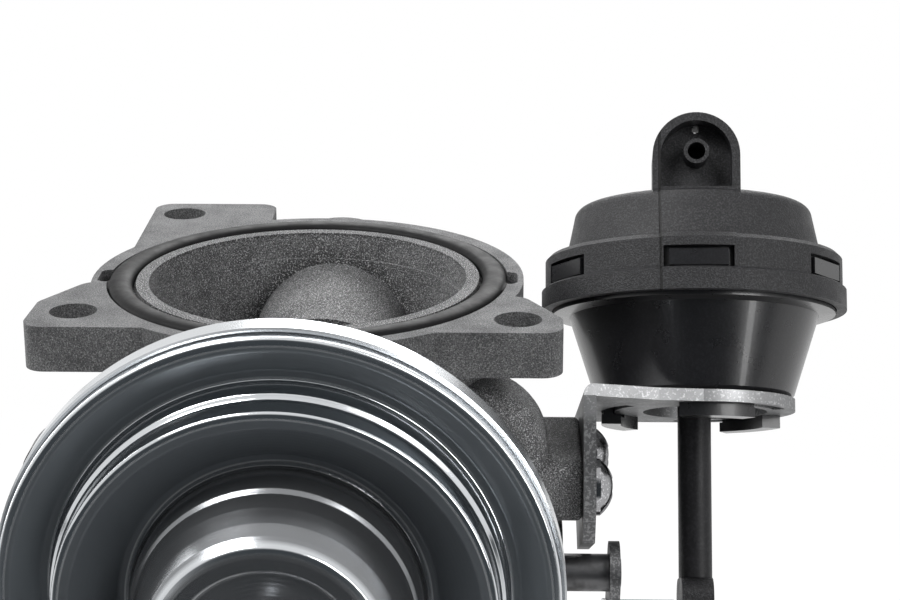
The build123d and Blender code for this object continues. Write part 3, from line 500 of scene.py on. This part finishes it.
def membrane(name, place, line, thickness, first=0.0, last=2 * pi):
    """A rolling diaphragm, whole or a sector, turned about an axis from a line of (along, radius)."""
    origin, axis, across, side = place
    front = between(line, LONGEST_RUN)
    outline = front + [(along + thickness, radius) for along, radius in reversed(front)]
    whole = last - first > NEARLY_ROUND
    steps = max(4, round((last - first) * STEPS_PER_RADIAN))
    rounds = steps if whole else steps + 1
    vertices = []
    for i in range(rounds):
        angle = first + (last - first) * i / steps
        out = across * cos(angle) + side * sin(angle)
        vertices += [origin + axis * (along * MM) + out * (radius * MM) for along, radius in outline]
    piece = free_mesh(name, vertices, grid_faces(rounds, len(outline), whole))
    piece.data.set_sharp_from_angle(angle=CREASE)
    return piece


COIL_STEPS = 72
WIRE_SIDES = 12
SEATED_TURNS = 0.5


def coil_spring(name, place, low, high, radius, wire, turns):
    """A compression spring whose end coils lie flat on their seats."""
    origin, axis, across, side = place
    steps = COIL_STEPS * (turns + 1)
    flat = SEATED_TURNS / (turns + 1)
    vertices = []
    for i in range(steps + 1):
        share = i / steps
        turned = 2 * pi * (turns + 1) * share
        climb = min(1.0, max(0.0, (share - flat) / (1 - 2 * flat)))
        out = across * cos(turned) + side * sin(turned)
        height = low + (high - low) * climb
        middle = origin + axis * (height * MM) + out * (radius * MM)
        for j in range(WIRE_SIDES):
            turn = 2 * pi * j / WIRE_SIDES
            vertices.append(middle + (out * cos(turn) + axis * sin(turn)) * (wire * MM))
    last_ring = steps * WIRE_SIDES
    faces = grid_faces(steps + 1, WIRE_SIDES, False)
    faces.append(tuple(range(WIRE_SIDES)))
    faces.append(tuple(reversed(range(last_ring, last_ring + WIRE_SIDES))))
    return free_mesh(name, vertices, faces)


def stand_in(piece, node, body=None):
    """Puts a piece in a node's place and material, and on a body if one is given."""
    piece.data.materials.append(MATERIALS[SLOT_OF[node]])
    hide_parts(node)
    if body:
        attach(piece, body)


# ------------------------------------------------------------ pieces that stand for a node
stand_in(seal_ring(), "manifold_seal", "valve_body")

# the gas valve's diaphragm and spring, along the valve's axis in millimetres
VALVE = frame_of((VALVE_X, 0.0, VALVE_Z), (0.0, -1.0, 0.0), (1.0, 0.0, 0.0))
RUBBER_T = 0.8
HUB = 81.5
CLAMP = 85.0
gas_line = [(HUB, 2.5), (HUB, 19.0), (81.2, 24.5), (82.2, 29.0), (83.9, 33.0), (83.9, 35.4)]
gas_line += [(CLAMP, 37.6), (CLAMP, 40.8)]
SECTORS = 12
SECTOR_WIDTH = 2 * pi / SECTORS
for index in range(SECTORS):
    middle = SECTOR_WIDTH * index
    edges = (middle - SECTOR_WIDTH / 2, middle + SECTOR_WIDTH / 2)
    sector = membrane(f"egr_membrane_{index:02d}", VALVE, gas_line, RUBBER_T, *edges)
    stand_in(sector, "egr_diaphragm")
    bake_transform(sector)
PLATE_T = 1.2
GAS_WIRE = 1.1
GAS_COIL_R = 13.0
GAS_TURNS = 4
GAS_SEAT = HUB + RUBBER_T + PLATE_T
GAS_STOP = 104.05
gas_coil = coil_spring(
    "egr_coil", VALVE, GAS_SEAT + GAS_WIRE, GAS_STOP - GAS_WIRE, GAS_COIL_R, GAS_WIRE, GAS_TURNS
)
stand_in(gas_coil, "egr_spring", "valve_body")
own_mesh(gas_coil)

# the actuator's diaphragm and spring, along the rod's axis in millimetres
ACTUATOR = frame_of(ACTUATOR_AT, UP, (1.0, 0.0, 0.0))
ROD_SEAT = 4.4
ROLL_EDGE = 19.7
roll_line = [(ROD_SEAT, 2.0), (ROD_SEAT, 15.4), (18.7, 20.6), (ROLL_EDGE, 21.7), (ROLL_EDGE, 24.2)]
roll_membrane = membrane("actuator_membrane", ACTUATOR, roll_line, RUBBER_T)
stand_in(roll_membrane, "actuator_diaphragm")
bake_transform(roll_membrane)
ROD_WIRE = 0.9
ROD_COIL_R = 11.0
ROD_TURNS = 5
ROD_COIL_SEAT = 6.8
ROD_COIL_STOP = 36.2
rod_coil = coil_spring(
    "actuator_coil",
    ACTUATOR,
    ROD_COIL_SEAT + ROD_WIRE,
    ROD_COIL_STOP - ROD_WIRE,
    ROD_COIL_R,
    ROD_WIRE,
    ROD_TURNS,
)
stand_in(rod_coil, "actuator_spring", "valve_body")
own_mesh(rod_coil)

# ------------------------------------------------------------ stage
WHITE = (1.0, 1.0, 1.0, 1.0)
ROOM = (0.06, 0.068, 0.075)
FLOOR_Z = CAD_BOUNDS[0][2] - 0.004
FLOOR_SIZE = 6
FLOOR_TONE = (0.82, 0.82, 0.82)
# the floor is plain white beyond SHADE_FAR, and shows some of its shadow within it
SHADE_NEAR = 0.06
SHADE_FAR = 0.26
NEAR_SHARE = 0.72
# where the room turns dark in mirrors: metres in front of the object on the floor, and the
# forward share of a direction in the world
FLOOR_DARK = (0.1, 0.3)
WORLD_DARK = (0.4, 0.85)
AMBIENT = 0.2


def front_shade(graph, vector, glossy, near, far):
    """White, but the tone of the unlit room in front of the object where mirrors look that way."""
    _, y, _ = graph.split(vector)
    depth = graph.remap(y, -near, -far, smooth=True)
    return graph.mix_colors(graph.math("MULTIPLY", depth, glossy), WHITE, (*ROOM, 1.0))


def seen_white(name):
    """White to the camera, darker in mirrors in front of the object, a plain surface elsewhere."""
    material = bpy.data.materials.new(name)
    material.use_nodes = True
    graph = Graph(material.node_tree)
    base = graph.nodes["Principled BSDF"]
    base.inputs["Base Color"].default_value = (*FLOOR_TONE, 1.0)
    base.inputs["Roughness"].default_value = 0.9
    path = graph.nodes.new("ShaderNodeLightPath")
    either = graph.math("MAXIMUM", path.outputs["Is Camera Ray"], path.outputs["Is Glossy Ray"])
    place = graph.nodes.new("ShaderNodeTexCoord").outputs["Object"]
    white = graph.nodes.new("ShaderNodeEmission")
    white.inputs["Strength"].default_value = 1.0
    dimmed = front_shade(graph, place, path.outputs["Is Glossy Ray"], *FLOOR_DARK)
    graph.links.new(dimmed, white.inputs["Color"])
    length = graph.nodes.new("ShaderNodeVectorMath")
    length.operation = "LENGTH"
    graph.links.new(place, length.inputs[0])
    fade = graph.remap(length.outputs["Value"], SHADE_NEAR, SHADE_FAR, NEAR_SHARE, 1.0, smooth=True)
    share = graph.math("MULTIPLY", either, fade)
    surface = graph.mix_shaders(share, base.outputs["BSDF"], white.outputs["Emission"])
    graph.links.new(surface, graph.nodes["Material Output"].inputs["Surface"])
    return material


def studio_world():
    """White to the camera, through glass and in mirrors, and a dim even light elsewhere."""
    world = bpy.data.worlds.new("studio")
    bpy.context.scene.world = world
    world.use_nodes = True
    graph = Graph(world.node_tree)
    path = graph.nodes.new("ShaderNodeLightPath")
    direct = graph.math("MAXIMUM", path.outputs["Is Camera Ray"], path.outputs["Is Transmission Ray"])
    seen = graph.math("MAXIMUM", direct, path.outputs["Is Glossy Ray"])
    sky = graph.nodes.new("ShaderNodeTexCoord").outputs["Generated"]
    backdrop = graph.nodes.new("ShaderNodeBackground")
    backdrop.inputs["Strength"].default_value = 1.0
    room = front_shade(graph, sky, path.outputs["Is Glossy Ray"], *WORLD_DARK)
    graph.links.new(room, backdrop.inputs["Color"])
    ambient = graph.nodes["Background"]
    ambient.inputs["Color"].default_value = WHITE
    ambient.inputs["Strength"].default_value = AMBIENT
    surface = graph.mix_shaders(seen, ambient.outputs["Background"], backdrop.outputs["Background"])
    graph.links.new(surface, graph.nodes["World Output"].inputs["Surface"])


bpy.ops.mesh.primitive_plane_add(size=FLOOR_SIZE, location=(0, 0, FLOOR_Z))
floor = bpy.context.object
floor.name = "floor"
floor.data.materials.append(seen_white("floor_white"))
studio_world()

# ------------------------------------------------------------ lights
LIT_POINT = Vector((0.02, -0.02, -0.02))


def area_light(name, location, size, power, stretch=1.0):
    """A rectangular light that looks at the middle of the object."""
    data = bpy.data.lights.new(name, "AREA")
    data.shape = "RECTANGLE"
    data.size = size
    data.size_y = size * stretch
    data.energy = power
    lamp = bpy.data.objects.new(name, data)
    bpy.context.collection.objects.link(lamp)
    lamp.location = location
    aim = LIT_POINT - Vector(location)
    lamp.rotation_euler = aim.to_track_quat("-Z", "Y").to_euler()


area_light("key", (-0.34, -0.1, 0.6), size=0.35, power=5.8)
area_light("fill", (0.5, -0.45, 0.48), size=0.3, power=2.8, stretch=1.4)
area_light("back", (0.1, 0.7, 0.45), size=0.5, power=5.0)
area_light("strip_right", (0.58, -0.46, 0.02), size=0.08, power=1.4, stretch=6.0)
area_light("strip_left", (-0.5, 0.22, 0.08), size=0.09, power=0.9, stretch=5.0)

# ------------------------------------------------------------ camera
CAMERA_AT = Vector((0.03335, -0.37275, 0.11618))
PITCH = radians(17.9)
TURN = radians(-1.2)
FOCAL_PIXELS = 2170.0
IMAGE_WIDTH = 900.0
SENSOR_MM = 36.0
LOOK = Vector((sin(TURN) * cos(PITCH), cos(TURN) * cos(PITCH), -sin(PITCH)))
camera_data = bpy.data.cameras.new("camera")
camera_data.sensor_width = SENSOR_MM
camera_data.lens = FOCAL_PIXELS / IMAGE_WIDTH * SENSOR_MM
camera_data.clip_start = 0.01
camera = bpy.data.objects.new("camera", camera_data)
bpy.context.collection.objects.link(camera)
camera.location = CAMERA_AT
camera.rotation_euler = LOOK.to_track_quat("-Z", "Y").to_euler()
bpy.context.scene.camera = camera
bpy.context.scene.view_settings.view_transform = "Standard"
